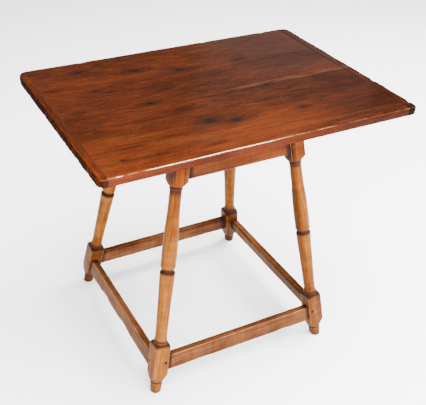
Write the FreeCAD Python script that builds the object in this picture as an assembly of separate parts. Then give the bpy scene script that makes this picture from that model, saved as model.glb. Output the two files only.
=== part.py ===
import FreeCAD, Part
import math
import os

# A splay-leg tavern table, in millimetres. The floor is at zero, the length runs along X
# and the front faces -Y. Four turned legs lean outwards both ways, four aprons and four
# box stretchers are tenoned and pegged into their square blocks, and a two-board top
# with cleated ends is dowelled down on the frame.

# Whole table
table_height = 660.0
overrun = 30.0              # how far a cutting shape runs past what it cuts

# Top boards
top_length = 768.0
top_width = 530.0
top_thickness = 20.0
seam_offset = -27.0         # seam between the boards, from the middle towards the back
board_upper_round = 5.0
board_lower_round = 3.0

# Cleated ends
left_cleat_width = 20.0
right_cleat_width = 26.0
cleat_projection = 2.0      # how far a cleat stands past the boards at front and back
cleat_corner_round = 17.0
cleat_corner_limit_share = 0.9           # a corner takes at most this much of a cleat's width
cleat_upper_round = 6.0
cleat_lower_round = 4.0
tongue_thickness = 7.0
tongue_length = 10.0
tongue_setback = 24.0       # the tongue stops short of the long edges by this much
tongue_clearance = 0.15
tongue_end_clearance = 0.4
cleat_pin_diameter = 5.0
cleat_pin_reach = 5.0       # from the shoulder of the boards to the middle of a pin
cleat_pin_length = 15.0     # up from the underside, so that no pin shows on the top
cleat_pin_place_shares = (0.2, 0.8)      # of each board's width

# Legs
base_offset = -6.0          # middle of the base from the middle of the top, along the length
foot_spread_x = 475.0       # between the leg axes, at the floor
foot_spread_y = 461.0
splay_degrees = 9.0         # lean of a leg as seen from the front and from the side
block_side = 39.0
block_arris_round = 1.5

# Turned profile of a leg, from the foot up: diameters, and lengths along the leg's own axis
foot_height = 27.0
foot_end_diameter = 27.0
foot_top_diameter = 31.0
foot_line_width = 2.0       # an incised line round the foot
foot_line_depth = 1.0
lower_block_bottom = 55.0
lower_block_length = 73.0
lower_shoulder_height = 8.0
lower_shoulder_diameter = 36.0
lower_shoulder_bulge = 2.5
collar_height = 6.0
collar_diameter = 35.0
collar_groove_diameter = 32.4
neck_height = 14.0
neck_diameter = 28.8
swell_place_share = 0.455   # of the length from the lower neck to the upper one
swell_diameter = 36.6
swell_hollow_share = 0.08   # of the swell's rise, how far its lower part is hollowed
swell_shoulder_height = 8.0
shoulder_round_share = 0.5  # of the step at the waist, how far its shoulders are rounded
waist_diameter = 27.0
waist_height = 4.0
vase_round_height = 12.0
vase_diameter = 36.0
vase_taper_share = 0.575    # of the vase's length, up to where it starts to hollow
vase_taper_diameter = 32.8
vase_taper_bulge = 0.9
vase_neck_diameter = 28.6
vase_neck_hollow = 0.6
upper_bead_height = 6.0
upper_bead_diameter = 31.5
upper_groove_diameter = 29.0
upper_shoulder_height = 15.5
upper_block_length = 116.0

# Aprons
apron_height = 102.0
apron_thickness = 20.0
apron_setback = 3.0         # from the outer face of the blocks
apron_arris_round = 1.5
apron_tenon_thickness = 8.0
apron_tenon_low_shoulder = 8.0
apron_tenon_top_shoulder = 20.0

# Stretchers
stretcher_height = 41.0
stretcher_thickness = 20.0
stretcher_setback = 5.0
stretcher_arris_round = 2.0
right_stretcher_height = 34.0
front_stretcher_bottom = 57.0
rear_stretcher_bottom = 58.0
left_stretcher_bottom = 52.0
right_stretcher_bottom = 66.0
stretcher_tenon_thickness = 8.0
stretcher_tenon_shoulder = 4.0

# Joints
tenon_length = 19.0
tenon_clearance = 0.15
peg_diameter = 8.0
peg_clearance = 0.1
peg_edge_distance = 9.0     # from the shoulder line to the middle of a peg
peg_depth = 24.0
peg_proud = 0.8
apron_peg_shares = (0.33, 0.75)         # of the apron's height, from its lower edge
stretcher_peg_shares = (0.72,)          # of the stretcher's height
dowel_diameter = 9.0        # blind dowels between the aprons and the top
dowel_depth = 32.0          # below the underside of the top
dowel_rise = 13.0           # above the underside of the top
dowel_spacing = 140.0
dowel_end_clearance = 0.5

# Worked out from the sizes above
splay = math.radians(splay_degrees)
underside_height = table_height - top_thickness
leg_length = underside_height * math.sqrt(1 + 2 * math.tan(splay) ** 2)
block_half = block_side / 2
block_diagonal = block_side * math.sqrt(2)
front_y = -top_width / 2
back_y = top_width / 2
seam_y = seam_offset
left_shoulder = -top_length / 2 + left_cleat_width
right_shoulder = top_length / 2 - right_cleat_width
stretcher_bottoms = {
    "front": front_stretcher_bottom,
    "rear": rear_stretcher_bottom,
    "left": left_stretcher_bottom,
    "right": right_stretcher_bottom,
}
stretcher_heights = {
    "front": stretcher_height,
    "rear": stretcher_height,
    "left": stretcher_height,
    "right": right_stretcher_height,
}

ENDS = {
    "left": (left_shoulder, -1),
    "right": (right_shoulder, 1),
}
UP = FreeCAD.Vector(0, 0, 1)
SIDES = ("front", "right", "rear", "left")
QUARTER_TURN = 90.0
FULL_TURN = 360.0
NEARLY_PARALLEL = 0.9       # cosine of the angle between an edge and an axis
CORNERS = {
    "front_left": (-1, -1),
    "front_right": (1, -1),
    "rear_left": (-1, 1),
    "rear_right": (1, 1),
}


def vec(x, y, z):
    return FreeCAD.Vector(x, y, z)


def block(low, high):
    """A box between two opposite corners."""
    size = [b - a for a, b in zip(low, high)]
    return Part.makeBox(*size, vec(*low))


def placed(shape, placement):
    """A copy of a shape at a placement."""
    copy = shape.copy()
    copy.Placement = placement.multiply(copy.Placement)
    return copy


def runs_along(edge, axis):
    """Whether an edge runs along an axis, given as its index."""
    return abs(edge.tangentAt(edge.FirstParameter)[axis]) > NEARLY_PARALLEL


def level_room(low, high):
    """A room wide enough for the whole table, between two levels."""
    reach = top_length + top_width
    return block((-reach, -reach, low), (reach, reach, high))


def export(name, shape):
    shape.exportStep(os.path.join("parts", name + ".step"))


# Legs

def leg_placement(corner):
    """From a leg's own frame, its axis up from the floor, to its place in the table."""
    side_x, side_y = corner
    lean = math.tan(splay)
    axis = vec(-side_x * lean, -side_y * lean, 1)
    foot = vec(base_offset + side_x * foot_spread_x / 2, side_y * foot_spread_y / 2, 0)
    return FreeCAD.Placement(foot, FreeCAD.Rotation(UP, axis))


def leg_blank():
    """The square stick that a leg is turned from, with its arrises eased."""
    stick = block((-block_half, -block_half, -overrun), (block_half, block_half, table_height + overrun))
    arrises = [edge for edge in stick.Edges if runs_along(edge, 2)]
    return stick.makeFillet(block_arris_round, arrises)


class TurnedOutline:
    """Half the outline of a turning, drawn upwards as heights and diameters."""

    def __init__(self, height, diameter):
        self.start = self.point(height, diameter)
        self.here = self.start
        self.edges = []

    def point(self, height, diameter):
        return vec(diameter / 2, 0, height)

    def bulged(self, end, bulge):
        """The middle of the chord to a point, moved out square to the chord."""
        chord = end - self.here
        across = vec(chord.z, 0, -chord.x).normalize()
        return (self.here + end) / 2 + across * bulge

    def line(self, height, diameter):
        end = self.point(height, diameter)
        self.edges.append(Part.LineSegment(self.here, end).toShape())
        self.here = end

    def arc(self, height, diameter, bulge):
        """A round bead or hollow that stands out by the bulge at its middle."""
        end = self.point(height, diameter)
        self.edges.append(Part.Arc(self.here, self.bulged(end, bulge), end).toShape())
        self.here = end

    def sweep(self, height, diameter, bulge):
        """A long shallow curve that stands out by the bulge at its middle."""
        end = self.point(height, diameter)
        curve = Part.BezierCurve()
        curve.setPoles([self.here, self.bulged(end, 2 * bulge), end])
        self.edges.append(curve.toShape())
        self.here = end

    def solid(self):
        """The outline closed along the axis and turned about it."""
        top = vec(0, 0, self.here.z)
        low = vec(0, 0, self.start.z)
        closing = Part.makePolygon([self.here, top, low, self.start]).Edges
        outline = Part.Face(Part.Wire(self.edges + closing))
        return outline.revolve(vec(0, 0, 0), UP, FULL_TURN)


def turned_envelope():
    """What the lathe leaves room for, from the foot to the upper block."""
    lower_block_top = lower_block_bottom + lower_block_length
    collar_low = lower_block_top + lower_shoulder_height
    collar_high = collar_low + collar_height
    collar_bulge = (collar_diameter - collar_groove_diameter) / 2
    neck = collar_high + neck_height
    upper_block_bottom = leg_length - upper_block_length
    bead_high = upper_block_bottom - upper_shoulder_height
    bead_low = bead_high - upper_bead_height
    bead_bulge = (upper_bead_diameter - upper_groove_diameter) / 2
    swell = neck + swell_place_share * (bead_low - neck)
    swell_rise = (swell_diameter - neck_diameter) / 2
    waist_low = swell + swell_shoulder_height
    waist_high = waist_low + waist_height
    waist_fall = (swell_diameter - waist_diameter) / 2
    vase_low = waist_high + vase_round_height
    vase_rise = (vase_diameter - waist_diameter) / 2
    vase_taper = vase_low + vase_taper_share * (bead_low - vase_low)
    line_diameter = foot_top_diameter - 2 * foot_line_depth

    leg = TurnedOutline(-overrun, foot_end_diameter)
    leg.line(0, foot_end_diameter)
    leg.line(foot_height, foot_top_diameter)
    leg.line(foot_height + foot_line_width / 2, line_diameter)
    leg.line(foot_height + foot_line_width, foot_top_diameter)
    leg.line(lower_block_bottom, block_diagonal)
    leg.line(lower_block_top, block_diagonal)
    leg.arc(collar_low, lower_shoulder_diameter, lower_shoulder_bulge)
    leg.line(collar_low, collar_groove_diameter)
    leg.arc(collar_high, collar_groove_diameter, collar_bulge)
    leg.line(neck, neck_diameter)
    leg.sweep(swell, swell_diameter, -swell_hollow_share * swell_rise)
    leg.arc(waist_low, waist_diameter, shoulder_round_share * waist_fall)
    leg.line(waist_high, waist_diameter)
    leg.arc(vase_low, vase_diameter, shoulder_round_share * vase_rise)
    leg.sweep(vase_taper, vase_taper_diameter, vase_taper_bulge)
    leg.sweep(bead_low, vase_neck_diameter, -vase_neck_hollow)
    leg.arc(bead_high, upper_groove_diameter, bead_bulge)
    leg.line(upper_block_bottom, block_diagonal)
    leg.line(table_height + overrun, block_diagonal)
    return leg.solid()


def turned_leg():
    """A leg in its own frame: the square stick where the lathe left it, turned elsewhere."""
    return leg_blank().common(turned_envelope())


def standing_leg(corner):
    """A leg at its corner, cut level at the floor and under the top."""
    leg = placed(turned_leg(), leg_placement(corner))
    return leg.common(level_room(0, underside_height))


# Rails

def rail_placement(side):
    """From a rail's own frame to its side of the table.

    In its own frame a rail runs along X, Z climbs its canted face in the plane of the
    two leg axes, and -Y points out of the table.
    """
    turns = SIDES.index(side)
    spread = foot_spread_y if turns % 2 == 0 else foot_spread_x
    lean = FreeCAD.Rotation(vec(1, 0, 0), -splay_degrees)
    canted = FreeCAD.Placement(vec(0, -spread / 2, 0), lean)
    turned = FreeCAD.Placement(vec(base_offset, 0, 0), FreeCAD.Rotation(UP, QUARTER_TURN * turns))
    return turned.multiply(canted)


def rail_corners(side):
    """The two corners that a rail joins."""
    axis, sign = {"front": (1, -1), "rear": (1, 1), "left": (0, -1), "right": (0, 1)}[side]
    return [name for name, corner in CORNERS.items() if corner[axis] == sign]


def canted(height):
    """A level height, measured along a canted face instead."""
    return height / math.cos(splay)


class Rail:
    """Sizes of one rail in its own frame: heights along the face, depths out of the table."""

    def __init__(self, side, kind):
        self.side = side
        self.kind = kind
        if kind == "apron":
            self.low = canted(underside_height - apron_height)
            self.high = canted(underside_height)
            self.stock_high = self.high + overrun
            self.setback = apron_setback
            self.thickness = apron_thickness
            self.arris = apron_arris_round
            self.tenon_thickness = apron_tenon_thickness
            self.tenon_low = self.low + apron_tenon_low_shoulder
            self.tenon_high = self.high - apron_tenon_top_shoulder
            self.peg_shares = apron_peg_shares
        else:
            self.low = canted(stretcher_bottoms[side])
            self.high = self.low + stretcher_heights[side]
            self.stock_high = self.high
            self.setback = stretcher_setback
            self.thickness = stretcher_thickness
            self.arris = stretcher_arris_round
            self.tenon_thickness = stretcher_tenon_thickness
            self.tenon_low = self.low + stretcher_tenon_shoulder
            self.tenon_high = self.high - stretcher_tenon_shoulder
            self.peg_shares = stretcher_peg_shares
        self.outer = -(block_half - self.setback)
        self.inner = self.outer + self.thickness
        self.middle = (self.outer + self.inner) / 2
        self.half_length = max(foot_spread_x, foot_spread_y) / 2

    def board(self):
        """The plain board, run through both legs, its long arrises eased."""
        low = (-self.half_length, self.outer, self.low)
        high = (self.half_length, self.inner, self.stock_high)
        bare = block(low, high)
        arrises = [edge for edge in bare.Edges if runs_along(edge, 0)]
        return placed(bare.makeFillet(self.arris, arrises), rail_placement(self.side))

    def core(self, clearance):
        """The tenon's section run through both legs, grown by a clearance."""
        half = self.tenon_thickness / 2 + clearance
        low = (-self.half_length, self.middle - half, self.tenon_low - clearance)
        high = (self.half_length, self.middle + half, self.tenon_high + clearance)
        return placed(block(low, high), rail_placement(self.side))

    def reach(self, corner_name, clearance, mouth):
        """The room inside a block that a tenon may fill, open at the shoulder by the mouth."""
        corner = CORNERS[corner_name]
        along = 0 if self.side in ("front", "rear") else 1
        inward = -corner[along]
        ends = sorted((inward * (block_half - tenon_length - clearance), inward * (block_half + mouth)))
        low = [-block_half, -block_half, -overrun]
        high = [block_half, block_half, table_height + overrun]
        low[along], high[along] = ends
        return placed(block(low, high), leg_placement(corner))

    def tenon(self, corner_name):
        return self.core(0).common(self.reach(corner_name, 0, 0))

    def mortise(self, corner_name):
        return self.core(tenon_clearance).common(self.reach(corner_name, tenon_clearance, overrun))

    def pegs(self, corner_name, radius, proud):
        """Pegs of one joint, driven square into the outer face of the block."""
        corner = CORNERS[corner_name]
        along = 0 if self.side in ("front", "rear") else 1
        across = 1 - along
        heights = [self.low + share * (self.high - self.low) for share in self.peg_shares]
        pegs = []
        for height in heights:
            start = [0, 0, height]
            start[along] = -corner[along] * (block_half - peg_edge_distance)
            start[across] = corner[across] * (block_half + proud)
            drive = [0, 0, 0]
            drive[across] = -corner[across]
            peg = Part.makeCylinder(radius, peg_depth + proud, vec(*start), vec(*drive))
            pegs.append(placed(peg, leg_placement(corner)))
        return pegs


def finished_rail(rail, blanks):
    """A rail with its shoulders cut to the legs, its tenons and its peg holes."""
    corners = rail_corners(rail.side)
    solid = rail.board().cut([blanks[name] for name in corners])
    span = max(solid.Solids, key=lambda piece: piece.Volume)
    solid = span.common(level_room(0, underside_height))
    for name in corners:
        solid = solid.fuse(rail.tenon(name))
    for name in corners:
        solid = solid.cut(rail.pegs(name, peg_diameter / 2 + peg_clearance, overrun))
    return solid.removeSplitter()


# Top

def cleat_pin_places():
    """Middles of the pins of one cleat, along Y."""
    boards = ((front_y, seam_y), (seam_y, back_y))
    return [low + share * (high - low) for low, high in boards for share in cleat_pin_place_shares]


def dowels(radius, end_clearance):
    """Blind dowels in the middle of the front and rear aprons, up into the boards."""
    level = underside_height - dowel_depth / 2
    apron_middle = block_half - apron_setback - apron_thickness / 2
    depth = foot_spread_y / 2 - level * math.tan(splay) + apron_middle / math.cos(splay)
    xs = [base_offset + side_x * dowel_spacing / 2 for side_x in (-1, 1)]
    low = underside_height - dowel_depth - end_clearance
    height = dowel_depth + dowel_rise + 2 * end_clearance
    places = [vec(x, side_y * depth, low) for side_y in (-1, 1) for x in xs]
    return [Part.makeCylinder(radius, height, place) for place in places]


def tongue(shoulder, outward, clearance, end_clearance):
    """The tongue on one end of the boards, grown by its clearances into the groove."""
    middle = table_height - top_thickness / 2
    half = tongue_thickness / 2 + clearance
    ends = sorted((shoulder, shoulder + outward * (tongue_length + end_clearance)))
    low = (ends[0], front_y + tongue_setback - end_clearance, middle - half)
    high = (ends[1], back_y - tongue_setback + end_clearance, middle + half)
    return block(low, high)


def cleat_pins(shoulder, outward, radius):
    """Blind pins, driven from below through one cleat and its tongue."""
    x = shoulder + outward * cleat_pin_reach
    places = [vec(x, y, underside_height) for y in cleat_pin_places()]
    return [Part.makeCylinder(radius, cleat_pin_length, place) for place in places]


def long_edge(board, y, z):
    """The edge of a board that lies along its length at a place across it."""
    along = [edge for edge in board.Edges if runs_along(edge, 0)]
    return min(along, key=lambda edge: edge.CenterOfMass.sub(vec(edge.CenterOfMass.x, y, z)).Length)


def top_board(low_y, high_y, outer_y):
    """One board with a tongue on each end and its long outer edge rounded over."""
    board = block((left_shoulder, low_y, underside_height), (right_shoulder, high_y, table_height))
    board = board.makeFillet(board_upper_round, [long_edge(board, outer_y, table_height)])
    board = board.makeFillet(board_lower_round, [long_edge(board, outer_y, underside_height)])
    strip = block((-top_length, low_y, underside_height), (top_length, high_y, table_height))
    holes = dowels(dowel_diameter / 2 + peg_clearance, dowel_end_clearance)
    for shoulder, outward in ENDS.values():
        board = board.fuse(tongue(shoulder, outward, 0, 0).common(strip))
        holes += cleat_pins(shoulder, outward, cleat_pin_diameter / 2 + peg_clearance)
    return board.cut(holes).removeSplitter()


def cleat(shoulder, outward, width):
    """A cross-grain end piece with rounded corners, grooved for the tongue."""
    outer = shoulder + outward * width
    xs = sorted((shoulder, outer))
    low_y = front_y - cleat_projection
    high_y = back_y + cleat_projection
    bar = block((xs[0], low_y, underside_height), (xs[1], high_y, table_height))
    corners = [edge for edge in bar.Edges if runs_along(edge, 2) and edge.CenterOfMass.x * outward > 0
               and abs(edge.CenterOfMass.x - outer) < width / 2]
    bar = bar.makeFillet(min(cleat_corner_round, cleat_corner_limit_share * width), corners)

    def rim(level):
        """The edges round one face, apart from the one along the shoulder."""
        lying = [edge for edge in bar.Edges if edge.BoundBox.ZLength < top_thickness / 2
                 and abs(edge.CenterOfMass.z - level) < top_thickness / 2]
        return [edge for edge in lying if abs(edge.CenterOfMass.x - shoulder) > width / 100]

    bar = bar.makeFillet(cleat_upper_round, rim(table_height))
    bar = bar.makeFillet(cleat_lower_round, rim(underside_height))
    groove = tongue(shoulder, outward, tongue_clearance, tongue_end_clearance)
    holes = cleat_pins(shoulder, outward, cleat_pin_diameter / 2 + peg_clearance)
    return bar.cut([groove] + holes)


# Build

def main():
    os.makedirs("parts", exist_ok=True)
    rails = [Rail(side, kind) for kind in ("apron", "stretcher") for side in SIDES]
    blanks = {name: placed(leg_blank(), leg_placement(corner)) for name, corner in CORNERS.items()}

    for name, corner in CORNERS.items():
        cuts = []
        pegs = {"apron": [], "stretcher": []}
        for rail in rails:
            if name in rail_corners(rail.side):
                cuts.append(rail.mortise(name))
                cuts += rail.pegs(name, peg_diameter / 2 + peg_clearance, overrun)
                pegs[rail.kind] += rail.pegs(name, peg_diameter / 2, peg_proud)
        export("leg_" + name, standing_leg(corner).cut(cuts))
        for kind, solids in pegs.items():
            export(kind + "_pegs_" + name, Part.makeCompound(solids))

    dowel_holes = dowels(dowel_diameter / 2 + peg_clearance, dowel_end_clearance)
    for rail in rails:
        solid = finished_rail(rail, blanks)
        if rail.kind == "apron" and rail.side in ("front", "rear"):
            solid = solid.cut(dowel_holes)
        export(rail.kind + "_" + rail.side, solid)

    export("top_board_front", top_board(front_y, seam_y, front_y))
    export("top_board_rear", top_board(seam_y, back_y, back_y))
    export("top_dowels", Part.makeCompound(dowels(dowel_diameter / 2, 0)))
    widths = {"left": left_cleat_width, "right": right_cleat_width}
    for name, (shoulder, outward) in ENDS.items():
        export("breadboard_end_" + name, cleat(shoulder, outward, widths[name]))
        pins = cleat_pins(shoulder, outward, cleat_pin_diameter / 2)
        export("breadboard_pins_" + name, Part.makeCompound(pins))


main()
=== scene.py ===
# %% [markdown]
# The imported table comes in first, as a fixed frame: every piece ends up in its place in it, in
# metres, with the floor at zero and the front facing -Y. The frame's solids could be dressed as they
# are, but they are loose triangles with sharp edges, so most pieces are modelled anew and stand in
# for them. The frame's box is kept, because nothing made here may stand outside it.

# %% Load the frame
import math
import bmesh
import bpy
from mathutils import Euler, Matrix, Vector


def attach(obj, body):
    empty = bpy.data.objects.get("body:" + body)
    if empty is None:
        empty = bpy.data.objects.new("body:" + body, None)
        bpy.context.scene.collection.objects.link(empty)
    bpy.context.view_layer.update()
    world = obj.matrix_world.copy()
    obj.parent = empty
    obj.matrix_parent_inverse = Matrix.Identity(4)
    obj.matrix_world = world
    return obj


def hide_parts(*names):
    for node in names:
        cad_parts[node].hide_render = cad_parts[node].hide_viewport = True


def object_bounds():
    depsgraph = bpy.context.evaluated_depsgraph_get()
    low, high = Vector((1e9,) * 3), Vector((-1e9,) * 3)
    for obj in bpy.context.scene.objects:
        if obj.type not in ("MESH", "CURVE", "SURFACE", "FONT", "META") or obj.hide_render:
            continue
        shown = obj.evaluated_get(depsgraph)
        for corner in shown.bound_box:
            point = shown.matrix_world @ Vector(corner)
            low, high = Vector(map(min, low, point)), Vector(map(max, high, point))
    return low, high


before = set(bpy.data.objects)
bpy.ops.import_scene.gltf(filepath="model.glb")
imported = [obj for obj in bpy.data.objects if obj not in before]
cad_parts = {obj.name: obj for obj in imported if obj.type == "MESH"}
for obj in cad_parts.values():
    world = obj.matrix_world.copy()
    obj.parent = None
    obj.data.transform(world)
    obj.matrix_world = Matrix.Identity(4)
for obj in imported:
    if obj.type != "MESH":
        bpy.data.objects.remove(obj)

cad_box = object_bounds()
print("table frame", [[round(value, 4) for value in corner] for corner in cad_box])

# %% [markdown]
# The picture was taken from the front left, looking down at the top. A camera could be turned by hand
# until the view looks right, but a point, three angles and a focal length, found from the table's
# feet and corners in the picture, give the same view each time. The picture was cropped, so its
# centre isn't quite on the lens axis, and a small shift moves the frame instead of turning the
# camera.

# %% Camera
picture_width, picture_height = 426, 405
lens_centre_x, lens_centre_y = 168.2, 205.7
focal_pixels = 718.5
sensor_width = 36.0
camera_place = (-0.7708, -1.3153, 1.3653)
yaw, pitch, roll = [math.radians(angle) for angle in (-26.877, 34.188, 1.395)]
level = math.cos(pitch)
towards_camera = Vector((math.sin(yaw) * level, -math.cos(yaw) * level, math.sin(pitch)))

bpy.ops.object.camera_add(location=camera_place)
camera = bpy.context.object
camera.rotation_mode = "QUATERNION"
camera.rotation_quaternion = towards_camera.to_track_quat("Z", "Y") @ Euler((0, 0, roll)).to_quaternion()
camera.data.sensor_fit = "HORIZONTAL"
camera.data.sensor_width = sensor_width
camera.data.lens = focal_pixels * sensor_width / picture_width
camera.data.shift_x = (picture_width / 2 - lens_centre_x) / picture_width
camera.data.shift_y = (lens_centre_y - picture_height / 2) / picture_width
camera.data.clip_end = 60
bpy.context.scene.camera = camera
print("camera lens", round(camera.data.lens, 2), "mm")

# %% [markdown]
# The studio is a pale floor under large lights. Small lamps would do too, but their shadows are hard,
# and those of the picture are soft. A broad light hangs overhead, a key light stands high on the
# right and leaves the left faces darker, and a narrow strip at the front right draws the white line
# along the front arris. A broad light on the camera's side and a weaker one at the left fill in, and
# a dim panel at the back shows as a grey sheen on the far end of the top.

# %% Floor and lights
bpy.ops.mesh.primitive_plane_add(size=24, location=(0, 0, -0.0002))
floor = bpy.context.object
floor.name = "studio_floor"


def soft_light(name, place, aim, width, height, power):
    """A soft light of a given size at a place, turned to face a point."""
    bpy.ops.object.light_add(type="AREA", location=place)
    light = bpy.context.object
    light.name = name
    light.data.shape = "RECTANGLE"
    light.data.size = width
    light.data.size_y = height
    light.data.energy = power
    light.rotation_mode = "QUATERNION"
    light.rotation_quaternion = (Vector(place) - Vector(aim)).to_track_quat("Z", "Y")


soft_light("overhead", (0.3, -0.1, 3.4), (0, 0, 0.2), 2.6, 2.6, 360)
soft_light("key_right", (2.4, 0.3, 2.4), (0, 0, 0.3), 1.3, 1.3, 230)
soft_light("front_right", (0.95, -1.57, 2.6), (0, -0.265, 0.66), 1.6, 0.36, 170)
soft_light("camera_side", (-0.7, -3.1, 1.7), (0, 0, 0.3), 3.0, 2.0, 370)
soft_light("left_fill", (-2.6, -1.2, 1.9), (0, 0, 0.3), 2.0, 2.0, 115)
soft_light("back_panel", (1.9, 2.3, 2.1), (0.3, 0.2, 0.66), 1.2, 1.2, 4)

world = bpy.context.scene.world or bpy.data.worlds.new("studio_walls")
bpy.context.scene.world = world
world.use_nodes = True
background = world.node_tree.nodes["Background"].inputs
background["Color"].default_value = (1, 1, 1, 1)
background["Strength"].default_value = 0.5

# %% [markdown]
# A finish is a tree of small shader nodes. They could be laid out by hand in the shader editor, but a
# wood needs many. So each helper puts down one node, feeds its sockets with numbers or links and
# hands back its output. A socket knows the tree it belongs to, so the helpers needn't be told.

# %% Numbers and vectors in a shader
def feed(socket, value):
    """Links an output into a socket, or sets a plain value on it."""
    if isinstance(value, bpy.types.NodeSocket):
        socket.id_data.links.new(value, socket)
    else:
        socket.default_value = value


def tree_of(values):
    """The shader tree of the sockets among some values."""
    return next(value.id_data for value in values if isinstance(value, bpy.types.NodeSocket))


def new_node(kind, *values, what=None):
    """A node with its operation set and its first sockets fed."""
    node = tree_of(values).nodes.new(kind)
    if what:
        node.operation = what
    for socket, value in zip(node.inputs, values):
        feed(socket, value)
    return node


def calc(what, *values):
    """A sum with numbers."""
    return new_node("ShaderNodeMath", *values, what=what).outputs[0]


def times(product, *others):
    """The product of masks and numbers."""
    for value in others:
        product = calc("MULTIPLY", product, value)
    return product


def vector_calc(what, *values):
    """A sum with vectors, or the length of one."""
    outputs = new_node("ShaderNodeVectorMath", *values, what=what).outputs
    return outputs["Value" if what == "LENGTH" else "Vector"]


def parts_of(vector):
    """The three numbers of a vector, named X, Y and Z."""
    return new_node("ShaderNodeSeparateXYZ", vector).outputs


def joined(x, y, z):
    """A vector from three numbers."""
    return new_node("ShaderNodeCombineXYZ", x, y, z).outputs[0]


print("helpers for sums in a shader are ready")

# %% [markdown]
# Old wood has no sharp borders between its colours. A painted picture could say where a stain lies,
# but it needs a file and blurs when seen closely, so noise says it here. A soft step turns noise, or
# a distance, into a mask from 0 to 1. Where the first limit of a step is the larger one, the mask
# falls instead of rising.

# %% Noise and soft steps
def step(value, low, high):
    """A soft step from 0 at the first limit to 1 at the second one."""
    node = new_node("ShaderNodeMapRange", value, low, high)
    node.interpolation_type = "SMOOTHSTEP"
    return node.outputs["Result"]


def near_line(value, line, far, near):
    """A mask along a line: 1 within the near distance of it, 0 beyond the far one."""
    return step(calc("ABSOLUTE", calc("SUBTRACT", value, line)), far, near)


def cloud(vector, stretch, detail=3.0, roughness=0.5):
    """Noise that is drawn out by a different scale along each axis."""
    node = new_node("ShaderNodeTexNoise", vector_calc("MULTIPLY", vector, stretch))
    node.inputs["Scale"].default_value = 1.0
    node.inputs["Detail"].default_value = detail
    node.inputs["Roughness"].default_value = roughness
    return node.outputs["Fac"]


print("helpers for masks are ready")

# %% [markdown]
# The top and the base share one grain, which runs along Z of the coordinates it is given. The rings
# are circles round a pith outside the piece, bent by a slow drift, so a flat face cuts them into long
# lines. Streaks, dashes, fibres, blotches and the cross figure called curl are noise, drawn out along
# or across the grain. The nodes could be repeated in every material, but a group keeps them in one
# place.

# %% Grain group
def new_group(name, inputs, outputs):
    """An empty shader group: a vector input where no start value is given, else numbers."""
    tree = bpy.data.node_groups.new(name, "ShaderNodeTree")
    for socket_name, start in inputs.items():
        kind = "NodeSocketVector" if start is None else "NodeSocketFloat"
        socket = tree.interface.new_socket(socket_name, in_out="INPUT", socket_type=kind)
        if start is not None:
            socket.default_value = start
    for socket_name in outputs:
        tree.interface.new_socket(socket_name, in_out="OUTPUT", socket_type="NodeSocketFloat")
    return tree, tree.nodes.new("NodeGroupInput").outputs, tree.nodes.new("NodeGroupOutput").inputs


noise_patterns = {"Streaks": ((130, 130, 5.5), 4, 0.6), "Fibre": ((650, 650, 12), 2, 0.6),
                  "Mottle": ((9, 9, 3.5), 3, 0.55), "Curl": ((14, 14, 95), 1.5, 0.4),
                  "Dashes": ((340, 340, 19), 3, 0.6), "Patches": ((45, 45, 12), 3, 0.6)}
seed_shares = (1.31, 0.73, 2.17)
pith_x, pith_y = 0.03, 0.09

grain, given, result = new_group(
    "wood_grain", {"Vector": None, "Seed": 0.0, "Ring Size": 0.006, "Drift": 1.0},
    ["Rings", *noise_patterns])
offset = joined(*[times(given["Seed"], share) for share in seed_shares])
at = vector_calc("ADD", given["Vector"], offset)
across = parts_of(given["Vector"])
from_pith = vector_calc("LENGTH", joined(
    calc("ADD", across["X"], pith_x), calc("ADD", across["Y"], pith_y), 0.0))
wander = times(calc("SUBTRACT", cloud(at, (14, 14, 2.2), 2), 0.5), given["Drift"])
ring_place = calc("ADD", calc("DIVIDE", from_pith, given["Ring Size"]), times(wander, 9.0))
wave = calc("SINE", times(ring_place, 2 * math.pi))
feed(result["Rings"], calc("POWER", calc("MULTIPLY_ADD", wave, 0.5, 0.5), 2.5))
for pattern, (stretch, detail, roughness) in noise_patterns.items():
    feed(result[pattern], cloud(at, stretch, detail, roughness))
print(grain.name, len(grain.nodes), "nodes")

# %% [markdown]
# Hands and brooms have rubbed the finish off the arrises. Pointiness could find an arris, but it
# depends on how finely a mesh is cut. Each stick of the base keeps its own coordinates, so the
# distance to an arris is the larger of the distances to the two faces that meet there. Noise makes
# the worn edge ragged.

# %% Worn arris group
worn_arris, given, result = new_group(
    "worn_arris", {"Vector": None, "Half Width": 0.02, "Half Depth": 0.02, "Reach": 0.003}, ["Mask"])
across = parts_of(given["Vector"])
to_side = calc("SUBTRACT", given["Half Width"], calc("ABSOLUTE", across["X"]))
to_face = calc("SUBTRACT", given["Half Depth"], calc("ABSOLUTE", across["Y"]))
to_arris = calc("MAXIMUM", to_side, to_face)
ragged = times(cloud(given["Vector"], (90, 90, 40), 4, 0.65), 2.0)
feed(result["Mask"], step(to_arris, times(given["Reach"], ragged), 0.0))
print(worn_arris.name, len(worn_arris.nodes), "nodes")

# %% [markdown]
# Dirt and old wax gather in the turned grooves of a leg. The bands could be painted on the mesh, but
# a leg has many of them, so a group makes one: a soft hump of a given width at a height along the
# stick.

# %% Grime band group
grime_band, given, result = new_group("grime_band", {"Along": 0.0, "Place": 0.0, "Width": 0.004}, ["Mask"])
feed(result["Mask"], near_line(given["Along"], given["Place"], given["Width"], 0.0))
print(grime_band.name, len(grime_band.nodes), "nodes")

# %% [markdown]
# A knot is where a branch grew out through the board, and the rings bend round it. It could be a dark
# dot alone, but then the grain would run straight through it. So besides a dark core and a soft halo
# the group gives a rise, which pushes the grain aside.

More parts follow.
